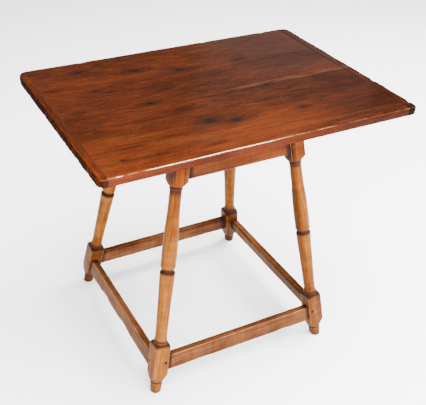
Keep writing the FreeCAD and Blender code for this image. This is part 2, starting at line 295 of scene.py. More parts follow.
# %% Knot group
knot_stretch = 1.7
knot_mark, given, result = new_group(
    "knot", {"Vector": None, "Place X": 0.0, "Place Y": 0.0, "Size": 0.008}, ["Core", "Halo", "Rise"])
spot = parts_of(given["Vector"])
jitter = calc("MULTIPLY_ADD", cloud(given["Vector"], (70, 110, 70), 3, 0.6), 0.9, 0.55)
off_x = calc("DIVIDE", calc("SUBTRACT", spot["X"], given["Place X"]), times(given["Size"], knot_stretch))
off_y = calc("DIVIDE", calc("SUBTRACT", spot["Y"], given["Place Y"]), given["Size"])
plain = vector_calc("LENGTH", joined(off_x, off_y, 0.0))
tail = vector_calc("LENGTH", joined(times(off_x, 0.6), off_y, 0.0))
fall_off = calc("EXPONENT", times(plain, plain, -0.16))
feed(result["Core"], step(times(plain, jitter), 1.0, 0.35))
feed(result["Halo"], step(times(tail, jitter), 2.6, 0.3))
feed(result["Rise"], times(given["Size"], fall_off))
print(knot_mark.name, len(knot_mark.nodes), "nodes")

# %% [markdown]
# A finish is built up as a finisher would do it: a ground colour, then stains and dirt, one over the
# other, each with its own masks. One ramp could hold all the colours, but in layers each step can be
# changed alone. A stain multiplies what lies under it, so the grain still shows, and dirt covers it.

# %% Colours laid over each other
def blend(mode, colour, tone, masks):
    """Lays a tone over a colour, as far as the product of the masks says."""
    node = new_node("ShaderNodeMix", times(*masks))
    node.data_type = "RGBA"
    node.blend_type = mode
    feed(node.inputs[6], colour)
    feed(node.inputs[7], (*tone, 1))
    return node.outputs[2]


def cover(colour, tone, *masks):
    """Dirt or bare wood, which hides the colour under it."""
    return blend("MIX", colour, tone, masks)


def tint(colour, tone, *masks):
    """A stain, which multiplies the colour under it."""
    return blend("MULTIPLY", colour, tone, masks)


def ramp(factor, stops):
    """A colour for each value of a pattern, between given stops."""
    node = new_node("ShaderNodeValToRGB", factor)
    while len(node.color_ramp.elements) < len(stops):
        node.color_ramp.elements.new(0.5)
    for element, (place, colour) in zip(node.color_ramp.elements, stops):
        element.position = place
        element.color = (*colour, 1)
    return node.outputs["Color"]


def place_group(group, **values):
    """Puts a group into a material, with its own values, and hands back its outputs."""
    node = tree_of(values.values()).nodes.new("ShaderNodeGroup")
    node.node_tree = group
    for name, value in values.items():
        feed(node.inputs[name.replace("_", " ").title()], value)
    return node.outputs


def mixed_tone(middle, *shares):
    """A tone round a middle value, which each pattern swings up and down by its share."""
    tone = middle - sum(share for pattern, share in shares) / 2
    for pattern, share in shares:
        tone = calc("MULTIPLY_ADD", pattern, share, tone)
    return tone


print("helpers for colours are ready")

# %% [markdown]
# The knots and dark smudges of the top stand where the picture shows them. A Voronoi texture could
# scatter them, but these are few and easily recognised, so each has a place and a size. Each is one
# copy of the knot group, and their masks are joined by taking the larger value.

# %% Knots and smudges in the boards
knots = [(-0.250, 0.207, 0.0075), (-0.120, 0.166, 0.0095), (-0.018, 0.128, 0.0095), (-0.094, 0.043, 0.0045),
         (-0.160, -0.011, 0.0085), (-0.251, 0.096, 0.0042), (-0.218, 0.080, 0.0040), (-0.340, 0.133, 0.0032),
         (-0.080, -0.137, 0.0130), (-0.025, -0.156, 0.0105), (0.143, -0.160, 0.0055), (0.130, -0.031, 0.0070),
         (-0.313, -0.214, 0.0030), (0.215, -0.138, 0.0034)]
smudges = [(0.045, 0.078, 0.0120), (0.290, -0.048, 0.0120), (-0.105, -0.065, 0.0090), (0.150, 0.128, 0.0060)]
smudge_stain = (0.44, 0.47, 0.55)
halo_brown = (0.006, 0.0023, 0.0016)
core_black = (0.0034, 0.0024, 0.0021)


def knot_masks(place):
    """Core, halo and rise of all the knots, and the smoke of the smudges."""
    core = halo = rise = smoke = 0.0
    for x, y, size in knots:
        mark = place_group(knot_mark, vector=place, place_x=x, place_y=y, size=size)
        core = calc("MAXIMUM", core, mark["Core"])
        halo = calc("MAXIMUM", halo, mark["Halo"])
        rise = calc("ADD", rise, mark["Rise"])
    for x, y, size in smudges:
        mark = place_group(knot_mark, vector=place, place_x=x, place_y=y, size=size)
        smoke = calc("MAXIMUM", smoke, mark["Halo"])
    return core, halo, rise, smoke


print(len(knots), "knots and", len(smudges), "smudges")

# %% [markdown]
# The top is old pine under many coats of shellac: red-brown, with darker streaks, olive patches, fine
# light and dark dashes, pores, and a honey colour towards the front left, where it was rubbed thin. A
# ramp could colour the rings alone, but the shellac hides most of them. So a ramp of mixed patterns
# gives the ground, and the finer marks are laid over it.

# %% Grain colours of the pine
pine_tones = [(0.25, (0.0060, 0.0017, 0.0010)), (0.42, (0.0154, 0.0034, 0.0012)),
              (0.56, (0.0266, 0.0054, 0.0017)), (0.76, (0.0575, 0.0134, 0.0029))]
olive = (0.0195, 0.0066, 0.0018)
honey = (2.8, 2.5, 1.6)
light_dash, dark_dash = (0.070, 0.0130, 0.0019), (0.0070, 0.0025, 0.0015)
light_pore, dark_pore = (0.059, 0.0148, 0.0030), (0.0085, 0.0034, 0.0016)


def pine_grain(figure, stick, x, y):
    tone = mixed_tone(0.46, (figure["Streaks"], 0.38), (figure["Mottle"], 0.56),
                      (figure["Fibre"], 0.42), (figure["Rings"], -0.04))
    colour = ramp(tone, pine_tones)
    colour = cover(colour, olive, step(figure["Patches"], 0.50, 0.66), 0.45)
    front_left = times(step(y, -0.03, -0.25), step(x, 0.30, 0.05))
    colour = tint(colour, honey, front_left, 0.85)
    colour = cover(colour, light_dash, step(figure["Dashes"], 0.52, 0.70), 0.45)
    colour = cover(colour, dark_dash, step(figure["Dashes"], 0.48, 0.31), 0.40)
    pores = cloud(stick, (380, 380, 130), 3, 0.65)
    colour = cover(colour, dark_pore, step(pores, 0.54, 0.68), 0.45)
    return cover(colour, light_pore, step(pores, 0.45, 0.32), 0.35)


print("pine from", len(pine_tones), "ground tones")

# %% [markdown]
# The top is darker at the right front and ruddy at the left, long use has left cloudy dark spots, and
# a grey sheen is painted at the rear right. Noise alone could spread these, but most of them have their
# places. So three masks are steps along X and Y, and only the spots are noise.

# %% Stains, darkening and painted sheen on the top
right_front_dim, ruddy_stain, dusk_stain = (0.42, 0.42, 0.5), (1.45, 1.45, 1.7), (0.42, 0.44, 0.5)
rear_right_sheen = (0.020, 0.0115, 0.0085)


def pine_stains_and_sheen(colour, stick, x, y, facing):
    # Darker at the right front of the top.
    band = times(step(y, 0.02, -0.20), step(y, -0.250, -0.180))
    dim = calc("MULTIPLY_ADD", band, 0.65, 0.25)
    dim = times(step(x, -0.05, 0.30), dim, step(facing, 0.3, 0.9))
    colour = tint(colour, right_front_dim, dim)
    colour = tint(colour, ruddy_stain, step(x, -0.08, -0.30), 0.4)
    # A painted grey sheen at the rear right of the top.
    rear_right = times(step(x, 0.0, 0.25), step(y, -0.03, 0.05))
    colour = cover(colour, rear_right_sheen, rear_right, 0.25)
    spots = step(cloud(stick, (13, 13, 5), 3, 0.55), 0.50, 0.68)
    return tint(colour, dusk_stain, spots, 0.55)


print("stains", right_front_dim, ruddy_stain, dusk_stain)

# %% [markdown]
# Two wide boards make the top, and a narrow cleat runs across each end. The seams could be left to
# the gaps in the mesh, but those are too fine to show what has gathered there, or the shade and sheen
# beside them. Dust lies in the seam of the left cleat, the right one shows as a dark line of painted
# shadow, and along the seam between the boards a raised edge shows a light band of painted sheen,
# with a dark furrow in front of it.

# %% Seams of the top
left_shoulder, right_shoulder = -0.364, 0.358
crest_line, furrow_line = -0.020, -0.0325
seam_dust, cleat_seam_shadow = (0.019, 0.0125, 0.0075), (0.0070, 0.0036, 0.0030)
seam_sheen, furrow_dark = (0.046, 0.020, 0.012), (0.0062, 0.0028, 0.0020)


def seam_marks(colour, figure, x, y):
    dust = times(near_line(x, left_shoulder, 0.0032, 0.0006),
                 step(figure["Mottle"], 0.34, 0.52))
    colour = cover(colour, seam_dust, dust, 0.55)
    # A light band of painted sheen along the seam between the boards.
    crest = times(near_line(y, crest_line, 0.012, 0.002), step(x, -0.04, 0.14),
                  step(figure["Dashes"], 0.38, 0.60))
    colour = cover(colour, seam_sheen, crest, 0.5)
    furrow = times(near_line(y, furrow_line, 0.0070, 0.0015), step(x, -0.12, 0.06))
    colour = cover(colour, furrow_dark, furrow, 0.6)
    # A dark line of painted shadow along the seam of the right cleat.
    shut = times(near_line(x, right_shoulder, 0.007, 0.001), step(y, -0.06, 0.04))
    return cover(colour, cleat_seam_shadow, shut, 0.75)


print("seams at", left_shoulder, "and", right_shoulder)

# %% [markdown]
# Along the front the shellac is rubbed through to bare wood, less so towards the right, and this pale
# tan also stands in as a painted highlight beside the white line of the arris. The front faces of the
# boards are redder. The ends of the cleats are dark with dirt, and the outer side of the left one gets
# painted shade, in patches. Chosen faces could have materials of their own, but then these marks
# would end at the edges of the mesh, so masks read the place and the normal instead.

# %% Worn edges, painted highlight and painted shade of the top
bare_pine_and_highlight = (0.20, 0.075, 0.018)
front_red, cleat_end_stain, end_stain = (1.35, 0.95, 0.60), (0.38, 0.34, 0.38), (0.36, 0.36, 0.42)
side_shade = (0.0060, 0.0026, 0.0018)


def cleat_dirt_and_shade(colour, y, outward, rubbed):
    worn_end = step(calc("ABSOLUTE", y), 0.235, 0.262)
    colour = tint(colour, end_stain, calc("MULTIPLY_ADD", worn_end, 0.6, 0.25))
    # Painted shade, in patches, on faces turned to the left: the outer side of the left cleat.
    shaded_side = times(step(outward, -0.25, -0.75), step(rubbed, 0.36, 0.54))
    return cover(colour, side_shade, shaded_side, 0.85)


def front_edge(colour, place, x, y, normal, is_board):
    # Pale tan along the front arris: bare wood, and a painted highlight beside the white line.
    bare_and_highlight = times(step(y, -0.2610, -0.2640), step(normal["Z"], 0.30, 0.60),
                 step(cloud(place, (26, 4, 4), 3, 0.6), 0.34, 0.56),
                 calc("MULTIPLY_ADD", step(x, 0.08, 0.22), -0.7, 1.0))
    colour = cover(colour, bare_pine_and_highlight, bare_and_highlight, 0.75 if is_board else 0.15)
    front = step(normal["Y"], -0.60, -0.90)
    return tint(colour, front_red if is_board else cleat_end_stain, front, 0.7)


print("edges rubbed down to", bare_pine_and_highlight)

# %% [markdown]
# A second, clear coat over the wood gives the shine of shellac. The wood itself could be made glossy,
# but a coat can be thin in one place and thick in another: there is a little on the upper and front
# faces, and much on the narrow flat along the front arris, where it throws back the strip light as
# one white line.

# %% Polish of the top
pine_ior, shellac_roughness = 1.05, 0.09


def finish_material(name, roughness, ior, coat_roughness=0.1):
    """A new material, its tree and its shader."""
    material = bpy.data.materials.new(name)
    material.use_nodes = True
    shader = material.node_tree.nodes["Principled BSDF"]
    shader.inputs["Roughness"].default_value = roughness
    shader.inputs["IOR"].default_value = ior
    shader.inputs["Coat Roughness"].default_value = coat_roughness
    return material, material.node_tree, shader


def bumped(shader, height, distance):
    """Small hollows and ridges that only the light shows."""
    node = shader.id_data.nodes.new("ShaderNodeBump")
    node.inputs["Strength"].default_value = 1.0
    node.inputs["Distance"].default_value = distance
    feed(node.inputs["Height"], height)
    feed(shader.inputs["Normal"], node.outputs["Normal"])


def polish(shader, place, x, y, normal, rubbed):
    facing = normal["Z"]
    polished = calc("MULTIPLY_ADD", rubbed, 0.16, 0.17)
    not_upward = step(facing, 0.995, 0.97)
    feed(shader.inputs["Roughness"], calc("MULTIPLY_ADD", not_upward, 0.5, polished))
    front_sheen = times(step(normal["Y"], -0.85, -0.95), 0.07)
    sheen = calc("MULTIPLY_ADD", step(facing, 0.97, 0.995), 0.06, front_sheen)
    lip = times(step(y, -0.2585, -0.2620),
                step(facing, 0.50, 0.60), step(facing, 0.90, 0.80),
                step(cloud(place, (22, 3, 3), 3, 0.6), 0.30, 0.52),
                calc("MULTIPLY_ADD", step(x, 0.10, 0.30), -0.8, 1.0))
    feed(shader.inputs["Coat Weight"], calc("MULTIPLY_ADD", lip, 0.8, sheen))


print("shellac roughness", shellac_roughness)

# %% [markdown]
# Now the steps are put together. Each board could have a material of its own, but both can share one,
# because it reads the table's own coordinates. The cleats have a second one, with the grain turned
# and no knots.

# %% Pine of the top
def pine(name, is_board):
    """Shellacked pine with its grain along X on the boards and along Y on the cleats."""
    material, tree, shader = finish_material(name, 0.25, pine_ior, shellac_roughness)
    place = tree.nodes.new("ShaderNodeTexCoord").outputs["Object"]
    normal = parts_of(tree.nodes.new("ShaderNodeNewGeometry").outputs["Normal"])
    x, y, z = parts_of(place)
    rubbed = cloud(place, (22, 60, 22), 4, 0.6)
    stick = joined(x, z, y)
    if is_board:
        core, halo, rise, smoke = knot_masks(place)
        stick = joined(calc("ADD", y, rise), z, x)
    figure = place_group(grain, vector=stick, seed=3.0, ring_size=0.011, drift=0.5)
    colour = pine_grain(figure, stick, x, y)
    colour = pine_stains_and_sheen(colour, stick, x, y, normal["Z"])
    colour = seam_marks(colour, figure, x, y)
    if is_board:
        colour = tint(colour, smudge_stain, smoke, 0.85)
        colour = cover(colour, halo_brown, halo, 0.65)
        colour = cover(colour, core_black, core, 0.85)
    else:
        colour = cleat_dirt_and_shade(colour, y, normal["X"], rubbed)
    feed(shader.inputs["Base Color"], front_edge(colour, place, x, y, normal, is_board))
    polish(shader, place, x, y, normal, rubbed)
    height = calc("MULTIPLY_ADD", figure["Streaks"], 0.6, times(figure["Dashes"], 0.5))
    bumped(shader, height, 0.00022)
    print(name, len(tree.nodes), "nodes")
    return material


board_pine = pine("shellacked_pine_boards", True)
cleat_pine = pine("shellacked_pine_cleats", False)

# %% [markdown]
# The base is maple. A grain on Object coordinates would run straight up through the leaning legs, so
# every stick carries its own coordinates in an attribute named stick, with the grain along Z. On a
# leg the honey colour turns redder and darker towards the top, and the foot is scrubbed grey. Two
# more attributes say how much painted shade its left side and its lower end get, and the left face
# of its upper block gets a painted shadow of the top.

# %% Colours of the legs
leg_tones = [(0.15, (0.055, 0.0150, 0.0030)), (0.4, (0.130, 0.0400, 0.0050)),
             (0.65, (0.212, 0.0790, 0.0112))]
thick_finish, upper_darkening = (0.90, 0.60, 0.45), (0.62, 0.52, 0.62)
left_shade_tone, block_shadow_tone = (0.40, 0.37, 0.46), (0.22, 0.20, 0.25)
scrubbed_grey, lower_shade_tone = (0.56, 0.62, 1.10), (0.36, 0.30, 0.36)


def read(tree, attribute):
    """An attribute that a piece carries on its points."""
    node = tree.nodes.new("ShaderNodeAttribute")
    node.attribute_name = attribute
    return node.outputs


def leg_colour(tree, tone, section):
    leftness, along = section["X"], section["Z"]
    colour = ramp(tone, leg_tones)
    colour = tint(colour, thick_finish, step(along, 0.36, 0.56), 0.75)
    # Darker towards the top of the leg.
    colour = tint(colour, upper_darkening, step(along, 0.48, 0.60), 0.7)
    # Painted shade on the left side of a leg, more on its upper part, as much as the leg's attribute says.
    higher = calc("MULTIPLY_ADD", step(along, 0.26, 0.36), 0.65, 0.35)
    left_shaded = times(step(leftness, -0.001, -0.015), higher, read(tree, "left_side_shade")["Fac"])
    colour = tint(colour, left_shade_tone, left_shaded)
    # Painted shadow of the top on the left face of the upper block.
    upper_block_left = times(step(leftness, -0.012, -0.018), step(along, 0.52, 0.56))
    colour = tint(colour, block_shadow_tone, upper_block_left, 0.9)
    colour = tint(colour, scrubbed_grey, step(along, 0.045, 0.008), 0.9)
    # Painted shade on the lower end of a leg, most on the rear right one.
    lower_shaded = times(step(along, 0.20, 0.12), read(tree, "lower_shade")["Fac"])
    return tint(colour, lower_shade_tone, lower_shaded)


print("legs from", len(leg_tones), "ground tones")

# %% [markdown]
# A rail is a flatter brown than a leg. Its upper face is darker, darkest at the inner edge, where
# painted shade lies, and its lower edge gets painted shade too, while feet and brooms have rubbed the
# outer arrises pale. Its faces could be told apart by their normals, but a rail is canted, so the
# masks read the stick's own coordinates, which don't lean.

# %% Colours of the rails
rail_tones = [(0.15, (0.032, 0.0090, 0.0030)), (0.4, (0.080, 0.0262, 0.0080)),
              (0.65, (0.153, 0.0600, 0.0200))]
upper_stain, edge_shade, rubbed_rail = (0.70, 0.62, 0.52), (0.30, 0.25, 0.26), (0.40, 0.23, 0.125)


def rail_edges(colour, section, scuffed, half_width, half_depth):
    """Dark and rubbed edges of a rail: X of its section points inwards and Y upwards."""
    inwards, upwards = section["X"], section["Y"]
    above = step(upwards, half_depth - 0.0032, half_depth - 0.0010)
    colour = tint(colour, upper_stain, above, 0.6)
    # The inner edge of the upper face and the lower edge get painted shade.
    inner = times(above, step(inwards, half_width - 0.0040, half_width - 0.0010))
    below = step(upwards, 0.0030 - half_depth, 0.0006 - half_depth)
    shaded = calc("MULTIPLY_ADD", inner, 0.85, times(below, 0.6))
    colour = tint(colour, edge_shade, shaded)
    outer = step(inwards, 0.0045 - half_width, 0.0020 - half_width)
    return cover(colour, rubbed_rail, times(scuffed, outer), 0.75)


print("rails from", len(rail_tones), "ground tones")

# %% [markdown]
# Dirt lies in the turned grooves of a leg. Where a rail meets a block, the darkening is partly dirt
# and partly painted shade. An Ambient Occlusion node could find such corners, but it would darken all
# of them alike. So a leg's bands are given by their height, and a rail's points know their distance
# from its ends. The darkening there reaches further on the inner side and has a ragged border.

# %% Dirt and painted shade of the base
groove_places = [(0.0280, 0.0035), (0.0360, 0.0025), (0.1345, 0.008), (0.1430, 0.007), (0.3325, 0.010),
                 (0.3280, 0.010), (0.5255, 0.008), (0.5180, 0.008)]
dirt_and_shade_tone = (0.0120, 0.0058, 0.0052)


def groove_dirt(along):
    darkening = 0.0
    for height, width in groove_places:
        band = place_group(grime_band, along=along, place=height, width=width)["Mask"]
        darkening = calc("MAXIMUM", darkening, band)
    return darkening


def joint_dirt_and_shade(tree, inwards, patches, half_width):
    # Where a rail meets a block: dirt and painted shade, reaching further on the inner side.
    reach = calc("MULTIPLY_ADD", step(inwards, 0.0, half_width), 0.007, 0.009)
    reach = calc("MULTIPLY_ADD", patches, 0.012, reach)
    return step(read(tree, "from_end")["Fac"], reach, 0.005)


print(len(groove_places), "bands of dirt on a leg")

# %% [markdown]
# One recipe serves legs and rails: ground colour, brown patches, rubbed arrises, dirt and painted
# shade. One material could serve them all if the points also carried the size of their section. A few
# materials, each with its own sizes, are easier to follow, because the arrises lie where the faces of
# a section meet.

# %% Maple of the base
maple_ior = 1.1
block_half = 0.0195
rail_thickness = 0.020
red_finish, brown_patch, rubbed_leg = (0.88, 0.54, 0.34), (0.60, 0.44, 0.38), (0.27, 0.13, 0.055)


def maple(name, is_leg, half_width, half_depth, reddened=False):
    material, tree, shader = finish_material(name, 0.4, maple_ior)
    stick = read(tree, "stick")["Vector"]
    section = parts_of(stick)
    figure = place_group(grain, vector=stick, seed=read(tree, "seed")["Fac"], ring_size=0.004, drift=0.7)
    tone = mixed_tone(0.41, (figure["Streaks"], 0.5), (figure["Mottle"], 0.6 if is_leg else 1.0),
                      (figure["Curl"], 0.3), (figure["Fibre"], 0.45), (figure["Rings"], -0.08))
    colour = leg_colour(tree, tone, section) if is_leg else ramp(tone, rail_tones)
    if reddened:
        colour = tint(colour, red_finish, step(figure["Mottle"], 0.25, 0.60))
    colour = tint(colour, brown_patch, step(figure["Patches"], 0.44, 0.64), 0.6)
    wear = place_group(worn_arris, vector=stick, half_width=half_width, half_depth=half_depth, reach=0.0024)
    scuffed = times(wear["Mask"], step(figure["Mottle"], 0.32, 0.54))
    if is_leg:
        colour = cover(colour, rubbed_leg, scuffed, 0.42)
        darkening = groove_dirt(section["Z"])
    else:
        colour = rail_edges(colour, section, scuffed, half_width, half_depth)
        darkening = joint_dirt_and_shade(tree, section["X"], figure["Patches"], half_width)
    # Grooves get dirt; the ends of a rail get dirt and painted shade.
    feed(shader.inputs["Base Color"], cover(colour, dirt_and_shade_tone, darkening, 0.9))
    feed(shader.inputs["Roughness"], calc("MULTIPLY_ADD", figure["Mottle"], 0.25, 0.24))
    height = calc("ADD", times(figure["Streaks"], 0.5), times(figure["Fibre"], 0.5))
    bumped(shader, height, 0.0003)
    print(name, len(tree.nodes), "nodes")
    return material


leg_maple = maple("honey_maple_legs", True, block_half, block_half)
apron_maple = maple("honey_maple_aprons", False, rail_thickness / 2, 0.0616, reddened=True)
stretcher_maple = maple("honey_maple_stretchers", False, rail_thickness / 2, 0.0205)
low_stretcher_maple = maple("honey_maple_right_stretcher", False, rail_thickness / 2, 0.0170)

# %% [markdown]
# The pegs were split from a harder wood and whittled. Their heads are end grain, so they show as
# dots, and dirt has made some nearly black. Each darkness could be a material, but one material with
# an attribute does the same. The pins and dowels in the top are blind, so the frame's own solids stay
# and only get this wood.

# %% Peg wood
peg_tones = [(0.3, (0.075, 0.020, 0.0035)), (0.7, (0.150, 0.050, 0.0090))]
peg_dirt = (0.012, 0.0045, 0.0030)

peg_wood, tree, shader = finish_material("dark_peg_wood", 0.45, maple_ior)
speckle = cloud(tree.nodes.new("ShaderNodeTexCoord").outputs["Object"], (900, 900, 900), 3, 0.6)
peg_colour = cover(ramp(speckle, peg_tones), peg_dirt, read(tree, "dark")["Fac"])
feed(shader.inputs["Base Color"], peg_colour)
feed(shader.inputs["Roughness"], calc("MULTIPLY_ADD", speckle, 0.3, 0.3))
bumped(shader, speckle, 0.0004)
for name in ("breadboard_pins_left", "breadboard_pins_right", "top_dowels"):
    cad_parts[name].data.materials.clear()
    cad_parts[name].data.materials.append(peg_wood)
print(peg_wood.name, len(tree.nodes), "nodes")

# %% [markdown]
# The floor is plain and pale, a dull light grey. One colour could do, but a slow change of tone,
# which hardly shows, takes away the look of blank paper.

# %% Floor finish
floor_tones = [(0.3, (0.92, 0.92, 0.925)), (0.7, (0.95, 0.95, 0.955))]
floor_paint, tree, shader = finish_material("pale_studio_floor", 0.7, 1.2)
dapple = cloud(tree.nodes.new("ShaderNodeTexCoord").outputs["Object"], (0.7, 0.7, 0.7), 2)
feed(shader.inputs["Base Color"], ramp(dapple, floor_tones))
floor.data.materials.append(floor_paint)
print("materials", [material.name for material in bpy.data.materials if material.use_nodes])

# %% [markdown]
# The legs, rails and boards start as sawn bars. By hand, their faces and edges would be picked with
# the mouse, and here a test on their place or normal picks them. Operators act on what is selected,
# so every step first picks an object, and in edit mode the vertices, edges or faces that pass the
# test. A new cube is set between two corners, which is how a maker thinks of a bar.

# %% Picking, choosing and a sawn bar
def pick(piece):
    """Back to object mode with one object selected and active."""
    if bpy.context.object and bpy.context.object.mode != "OBJECT":
        bpy.ops.object.mode_set(mode="OBJECT")
    bpy.ops.object.select_all(action="DESELECT")
    piece.select_set(True)
    bpy.context.view_layer.objects.active = piece


def edit(piece):
    """Edit mode with all of a piece selected."""
    pick(piece)
    bpy.ops.object.mode_set(mode="EDIT")
    bpy.ops.mesh.select_all(action="SELECT")


def choose(kind, test):
    """In edit mode, selects the vertices, edges or faces that pass a test."""
    bpy.ops.mesh.select_mode(type=kind)
    bpy.ops.mesh.select_all(action="DESELECT")
    mesh = bmesh.from_edit_mesh(bpy.context.object.data)
    for item in {"VERT": mesh.verts, "EDGE": mesh.edges, "FACE": mesh.faces}[kind]:
        if test(item):
            item.select_set(True)
    mesh.select_flush_mode()
    bmesh.update_edit_mesh(bpy.context.object.data)


def runs(edge, axis):
    """Whether an edge runs along an axis."""
    way = edge.verts[1].co - edge.verts[0].co
    return abs(way[axis]) > 0.99 * way.length


def bar(name, low, high):
    """A cube set between two corners, its size in its mesh."""
    low, high = Vector(low), Vector(high)
    bpy.ops.object.select_all(action="DESELECT")
    bpy.ops.mesh.primitive_cube_add(size=1, location=(low + high) / 2)
    piece = bpy.context.object
    piece.name = name
    piece.scale = high - low
    bpy.ops.object.transform_apply(location=True, rotation=True, scale=True)
    return piece


def apply_all(piece):
    """Makes the modifiers of a piece part of its mesh."""
    pick(piece)
    for modifier in list(piece.modifiers):
        bpy.ops.object.modifier_apply(modifier=modifier.name)


print("helpers for picking are ready")

# %% [markdown]
# A few jobs come back on many pieces: an arris is rounded or cut off flat, a long edge is divided so
# that the face can bend, and an end is sawn off along a plane. A Bevel modifier could round all edges
# at once, but the arrises differ in width, so chosen edges are bevelled in edit mode.

# %% Edges, cuts and copies
def round_edges(test, offset, segments):
    """Rounds the edges that pass a test, or cuts them off flat with one segment."""
    choose("EDGE", test)
    bpy.ops.mesh.bevel(offset=offset, segments=segments, profile=0.5)


def divide_edges(test, cuts):
    """Divides the edges that pass a test."""
    choose("EDGE", test)
    bpy.ops.mesh.subdivide(number_cuts=cuts)


def saw(place, normal, **cleared):
    """Saws through a piece along a plane, closes the cut and clears one side."""
    bpy.ops.mesh.select_all(action="SELECT")
    bpy.ops.mesh.bisect(plane_co=place, plane_no=normal, use_fill=True, **cleared)


def copy_of(piece, name):
    """A copy with its own mesh."""
    twin = piece.copy()
    twin.data = piece.data.copy()
    twin.name = name
    bpy.context.scene.collection.objects.link(twin)
    return twin


print("helpers for edges, cuts and copies are ready")

# %% [markdown]
# A leg starts as a square stick and goes on the lathe between its two blocks. Its outline goes from
# the foot through the lower block, a collar, a swell, a waist, a vase and a bead up to the upper
# block. It could be a long list of points, but here curves are bows over a chord, with few points, as
# a turner marks them.

# %% Outline of a leg
splay = math.radians(9)
lean = math.tan(splay)
underside = 0.640
leg_length = underside * math.sqrt(1 + 2 * lean ** 2)
block_radius = block_half * math.sqrt(2)


def bow(start, end, bulge, steps):
    """Points of a curve that stands out from its chord by the bulge, as radius and height."""
    (radius, height), (last_radius, last_height) = start, end
    wider, higher = last_radius - radius, last_height - height
    length = math.hypot(wider, higher)
    shares = [count / steps for count in range(1, steps + 1)]
    swells = [4 * share * (1 - share) * bulge / length for share in shares]
    return [(radius + wider * share + higher * swell, height + higher * share - wider * swell)
            for share, swell in zip(shares, swells)]


upper_block = leg_length - 0.116
bead_high = upper_block - 0.0155
bead_low = bead_high - 0.006
neck = 0.156
swell = neck + 0.455 * (bead_low - neck)
vase = swell + 0.024
taper = vase + 0.575 * (bead_low - vase)
spare = 0.03

outline = [(0.0, -spare), (0.0135, -spare), (0.0135, 0.0), (0.0155, 0.027), (0.0145, 0.028), (0.0155, 0.029),
           (block_radius, 0.055), (block_radius, 0.128)]
profile = [(0.0180, 0.136, 0.0025, 6), (0.0162, 0.136), (0.0162, 0.142, 0.0013, 6), (0.0144, neck),
           (0.0183, swell, -0.0003, 10), (0.0135, swell + 0.008, 0.0024, 6), (0.0135, swell + 0.012),
           (0.0180, vase, 0.0022, 6), (0.0164, taper, 0.0009, 8), (0.0143, bead_low, -0.0006, 8),
           (0.0145, bead_high, 0.00125, 6), (block_radius, upper_block),
           (block_radius, leg_length + spare), (0.0, leg_length + spare)]
for radius, height, *curve in profile:
    outline += bow(outline[-1], (radius, height), *curve) if curve else [(radius, height)]
print("leg outline", len(outline), "points,", round(leg_length, 4), "m long")

# %% [markdown]
# Half the outline is drawn by extruding one point upwards and spun about the axis, and what the lathe
# and the square stick have in common is the leg. Round and square parts could be modelled apart and
# joined, but this way the shoulders where square meets round come out by themselves, as they do on
# the lathe.

# %% Turned leg
bpy.ops.object.select_all(action="DESELECT")
bpy.ops.mesh.primitive_plane_add(size=0.01, location=(0, 0, 0))
turned = bpy.context.object
turned.name = "turned_leg"
edit(turned)
bpy.ops.mesh.merge(type="CENTER")
bpy.ops.transform.translate(value=(outline[0][0], 0, outline[0][1]))
for start, end in zip(outline, outline[1:]):
    move = (end[0] - start[0], 0, end[1] - start[1])
    bpy.ops.mesh.extrude_vertices_move(TRANSFORM_OT_translate={"value": move})
bpy.ops.mesh.select_all(action="SELECT")
bpy.ops.mesh.spin(steps=64, angle=2 * math.pi, center=(0, 0, 0), axis=(0, 0, 1))
bpy.ops.mesh.select_all(action="SELECT")
bpy.ops.mesh.remove_doubles(threshold=0.00001)
bpy.ops.mesh.normals_make_consistent(inside=False)
bpy.ops.object.mode_set(mode="OBJECT")

stick = bar("square_stick", (-block_half, -block_half, -0.02), (block_half, block_half, leg_length + 0.02))
edit(stick)
round_edges(lambda edge: runs(edge, 2), 0.0018, 3)
bpy.ops.object.mode_set(mode="OBJECT")
common = turned.modifiers.new("on_the_lathe", "BOOLEAN")
common.operation = "INTERSECT"
common.object = stick
common.solver = "EXACT"
apply_all(turned)
bpy.data.objects.remove(stick)
print("turned leg", len(turned.data.vertices), "points")

# %% [markdown]
# The finishes need to know where each point was before a stick was leaned into its place, so points
# carry numbers. And no face of an old table is flat. Unevenness could be sculpted, but a Displace
# modifier with a soft noise does the same for every piece.

# %% Marks on the points, unevenness and a finished piece
def mark_points(piece, name, values):
    """Stores one number for each point of a piece."""
    piece.data.attributes.new(name, "FLOAT", "POINT").data.foreach_set("value", values)


def keep_stick(piece, order, seed):
    """Stores where each point was on the straight stick, the grain along Z, and a seed."""
    points = piece.data.vertices
    stick = piece.data.attributes.new("stick", "FLOAT_VECTOR", "POINT")
    stick.data.foreach_set("vector", [point.co[axis] for point in points for axis in order])
    mark_points(piece, "seed", [seed] * len(points))


def move_mesh(piece, matrix):
    """Puts a piece in its place and leaves the place in its mesh."""
    pick(piece)
    piece.matrix_world = matrix
    bpy.ops.object.transform_apply(location=True, rotation=True, scale=True)


def displaced(piece, way, strength, middle, weight=None, texture=None):
    """Moves the points of a piece along a way, as far as a noise or a weight says."""
    modifier = piece.modifiers.new("displaced", "DISPLACE")
    modifier.direction = way
    modifier.strength = strength
    modifier.mid_level = middle
    modifier.texture = texture
    modifier.texture_coords = "GLOBAL"
    if weight:
        group = piece.vertex_groups.new(name="taking_part")
        modifier.vertex_group = group.name
        for point in piece.data.vertices:
            if weight(point.co) > 0:
                group.add([point.index], weight(point.co), "REPLACE")
    apply_all(piece)
    piece.vertex_groups.clear()


def hand_planed(piece, size, depth, way="NORMAL", weight=None):
    """A slow unevenness, as a hand plane leaves it: points move against their normal or an axis."""
    texture = bpy.data.textures.new(piece.name + "_unevenness", "CLOUDS")
    texture.noise_scale = size
    displaced(piece, way, depth, 1.0, weight, texture)


